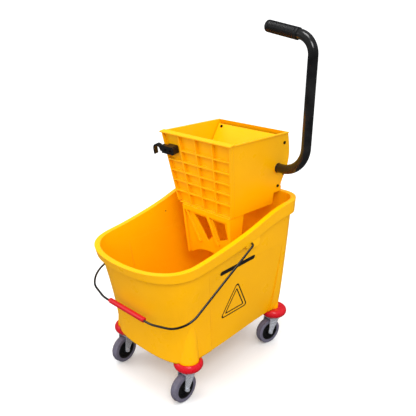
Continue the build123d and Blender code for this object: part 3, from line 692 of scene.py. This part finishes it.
def printed(points_out, points_in, side, tree, film, name):
    """A thin printed film on the tub's side, between two outlines or filling one, sunk into the wall."""
    bm = bmesh.new()
    outer = [bm.verts.new((0.0, p.x, p.y)) for p in points_out]
    loops = [outer]
    if points_in:
        loops.append([bm.verts.new((0.0, p.x, p.y)) for p in points_in])
    edges = []
    for loop in loops:
        edges += [bm.edges.new((loop[i - 1], loop[i])) for i in range(len(loop))]
    if points_in:
        bmesh.ops.bridge_loops(bm, edges=edges)
    else:
        bmesh.ops.contextual_create(bm, geom=edges)
    bmesh.ops.triangulate(bm, faces=bm.faces)
    longer = [e for e in bm.edges if e.calc_length() > LONGEST_EDGE]
    bmesh.ops.subdivide_edges(bm, edges=longer, cuts=4, use_grid_fill=False)
    bmesh.ops.triangulate(bm, faces=bm.faces)
    for vert in bm.verts:
        start = Vector((side * RAY_START, vert.co.y, vert.co.z))
        hit = tree.ray_cast(start, Vector((-side, 0, 0)))[0]
        if hit is None:
            raise RuntimeError(f"{name} misses the side of the tub")
        vert.co = hit + Vector((side * film, 0, 0))
    grown = bmesh.ops.extrude_face_region(bm, geom=list(bm.faces))
    under = [v for v in grown["geom"] if isinstance(v, bmesh.types.BMVert)]
    bmesh.ops.translate(bm, verts=under, vec=(-side * film * 1.6, 0, 0))
    return settle(bm, name, "tub", "black_plastic", smooth=False)


class BUCKET_OT_marks(bpy.types.Operator):
    """Print a plain bar and an empty rounded triangle on both sides of the tub"""

    bl_idname = "bucket.marks"
    bl_label = "Printed marks"

    def execute(self, context):
        sizes = context.scene.label_sizes
        tree = wall_tree()
        middle = sum((Vector(p) for p in TRIANGLE), Vector((0, 0))) / 3
        inner = [middle + (Vector(p) - middle) * INNER_SHARE for p in TRIANGLE]
        front, rear = BAR_FRONT_LOW, BAR_REAR_LOW
        bar = [front, rear, (rear[0], rear[1] + sizes.bar), (front[0], front[1] + sizes.bar)]
        for side, where in ((1, "right"), (-1, "left")):
            for kind, corners in (("outer", TRIANGLE), ("inner", inner)):
                radius = TRIANGLE_ROUNDING[kind]
                away = [Vector(p) for p in corners]
                centre = sum(away, Vector((0, 0))) / 3
                shrink = 1 - 3.1 * sizes.line / (away[0] - centre).length
                near = [centre + (p - centre) * shrink for p in away]
                out_line = rounded_outline(away, radius)
                in_line = rounded_outline(near, radius - 0.9 * sizes.line)
                printed(out_line, in_line, side, tree, sizes.film, f"mark_triangle_{kind}_{where}")
            bar_line = rounded_outline(bar, sizes.bar * 0.45)
            printed(bar_line, None, side, tree, sizes.film, f"mark_bar_{where}")
        return {"FINISHED"}


# ---- Stage ---------------------------------------------------------------------------------
class BUCKET_OT_stage(bpy.types.Operator):
    """Set the pale floor, the soft lights, the surround and the camera"""

    bl_idname = "bucket.stage"
    bl_label = "Stage"

    def execute(self, context):
        scene = context.scene
        settings = scene.bucket_stage
        scene.view_settings.view_transform = "Standard"
        scene.view_settings.look = "None"
        self.floor(scene)
        self.surround(scene, settings.sky)
        for name, (place, size) in LAMPS.items():
            self.lamp(scene, name, place, size, getattr(settings, name))
        self.camera(scene)
        return {"FINISHED"}

    def floor(self, scene):
        n = Nodes("pale_floor")
        patches = n.spread(n.noise(1.5, 3.0), 0.3, 0.7, 0.0, 1.0)
        n.join(n.mix(patches, *FLOOR_PALE), n.shader.inputs["Base Color"])
        n.shader.inputs["Roughness"].default_value = 0.9
        n.shader.inputs["Specular IOR Level"].default_value = 0.1
        path = n.add("ShaderNodeLightPath").outputs
        below = n.shader.outputs[0]
        for ray, grey in FLOOR_GREY.items():
            quiet = n.add("ShaderNodeBsdfDiffuse")
            quiet.inputs["Color"].default_value = (grey, grey, grey, 1.0)
            blend = n.add("ShaderNodeMixShader")
            n.join(path[ray], blend.inputs[0])
            n.join(below, blend.inputs[1])
            n.join(quiet.outputs[0], blend.inputs[2])
            below = blend.outputs[0]
        n.join(below, n.out.inputs[0])
        bm = bmesh.new()
        bmesh.ops.create_circle(bm, cap_ends=True, segments=96, radius=FLOOR_RADIUS)
        mesh = bpy.data.meshes.new("floor")
        bm.to_mesh(mesh)
        bm.free()
        floor = bpy.data.objects.new("floor", mesh)
        mesh.materials.append(n.material)
        scene.collection.objects.link(floor)

    def surround(self, scene, strength):
        world = bpy.data.worlds.new("surround")
        world.use_nodes = True
        nodes, links = world.node_tree.nodes, world.node_tree.links
        back = nodes["Background"]
        back.inputs["Color"].default_value = (1.0, 1.0, 1.0, 1.0)
        back.inputs["Strength"].default_value = strength
        dim = nodes.new("ShaderNodeBackground")
        dim.inputs["Color"].default_value = SURROUND_TINT
        dim.inputs["Strength"].default_value = SURROUND_GLOSS * strength
        mix = nodes.new("ShaderNodeMixShader")
        path = nodes.new("ShaderNodeLightPath")
        links.new(path.outputs["Is Glossy Ray"], mix.inputs[0])
        links.new(back.outputs[0], mix.inputs[1])
        links.new(dim.outputs[0], mix.inputs[2])
        links.new(mix.outputs[0], nodes["World Output"].inputs["Surface"])
        scene.world = world

    def lamp(self, scene, name, place, size, power):
        light = bpy.data.lights.new(name, "AREA")
        light.shape = "DISK"
        light.size = size
        light.energy = power
        lamp = bpy.data.objects.new(name, light)
        scene.collection.objects.link(lamp)
        aim = Vector(LAMP_AIM) - Vector(place)
        lamp.location = place
        lamp.rotation_euler = aim.to_track_quat("-Z", "Y").to_euler()

    def camera(self, scene):
        lens = bpy.data.cameras.new("camera")
        lens.lens = CAMERA_LENS
        lens.sensor_width = 36.0
        lens.clip_start = 0.05
        camera = bpy.data.objects.new("camera", lens)
        scene.collection.objects.link(camera)
        camera.location = CAMERA_PLACE
        camera.rotation_euler = (math.pi / 2 - CAMERA_DIP, 0.0, CAMERA_HEADING)
        scene.camera = camera


class BUCKET_PT_panel(bpy.types.Panel):
    """Sidebar panel that lists the settings and the pieces"""

    bl_label = "Mop bucket"
    bl_idname = "BUCKET_PT_panel"
    bl_space_type = "VIEW_3D"
    bl_region_type = "UI"
    bl_category = "Mop bucket"

    def draw(self, context):
        column = self.layout.column()
        for group in (name for name, _ in SETTINGS):
            settings = getattr(context.scene, group)
            for key in settings.__annotations__:
                column.prop(settings, key)
        for operator in OPERATORS:
            column.operator(operator.bl_idname)


SETTINGS = [
    ("bucket_colours", BucketColours),
    ("grip_sizes", GripSizes),
    ("label_sizes", LabelSizes),
    ("bucket_stage", StageSettings),
]
OPERATORS = [
    BUCKET_OT_tub,
    BUCKET_OT_casters,
    BUCKET_OT_wringer,
    BUCKET_OT_handle,
    BUCKET_OT_marks,
    BUCKET_OT_stage,
]


def register():
    for name, group in SETTINGS:
        bpy.utils.register_class(group)
        setattr(bpy.types.Scene, name, PointerProperty(type=group))
    for operator in OPERATORS:
        bpy.utils.register_class(operator)
    bpy.utils.register_class(BUCKET_PT_panel)


def unregister():
    bpy.utils.unregister_class(BUCKET_PT_panel)
    for operator in reversed(OPERATORS):
        bpy.utils.unregister_class(operator)
    for name, group in reversed(SETTINGS):
        delattr(bpy.types.Scene, name)
        bpy.utils.unregister_class(group)


def main():
    register()
    for step in ("tub", "casters", "wringer", "handle", "marks", "stage"):
        getattr(bpy.ops.bucket, step)()


if __name__ == "__main__":
    main()
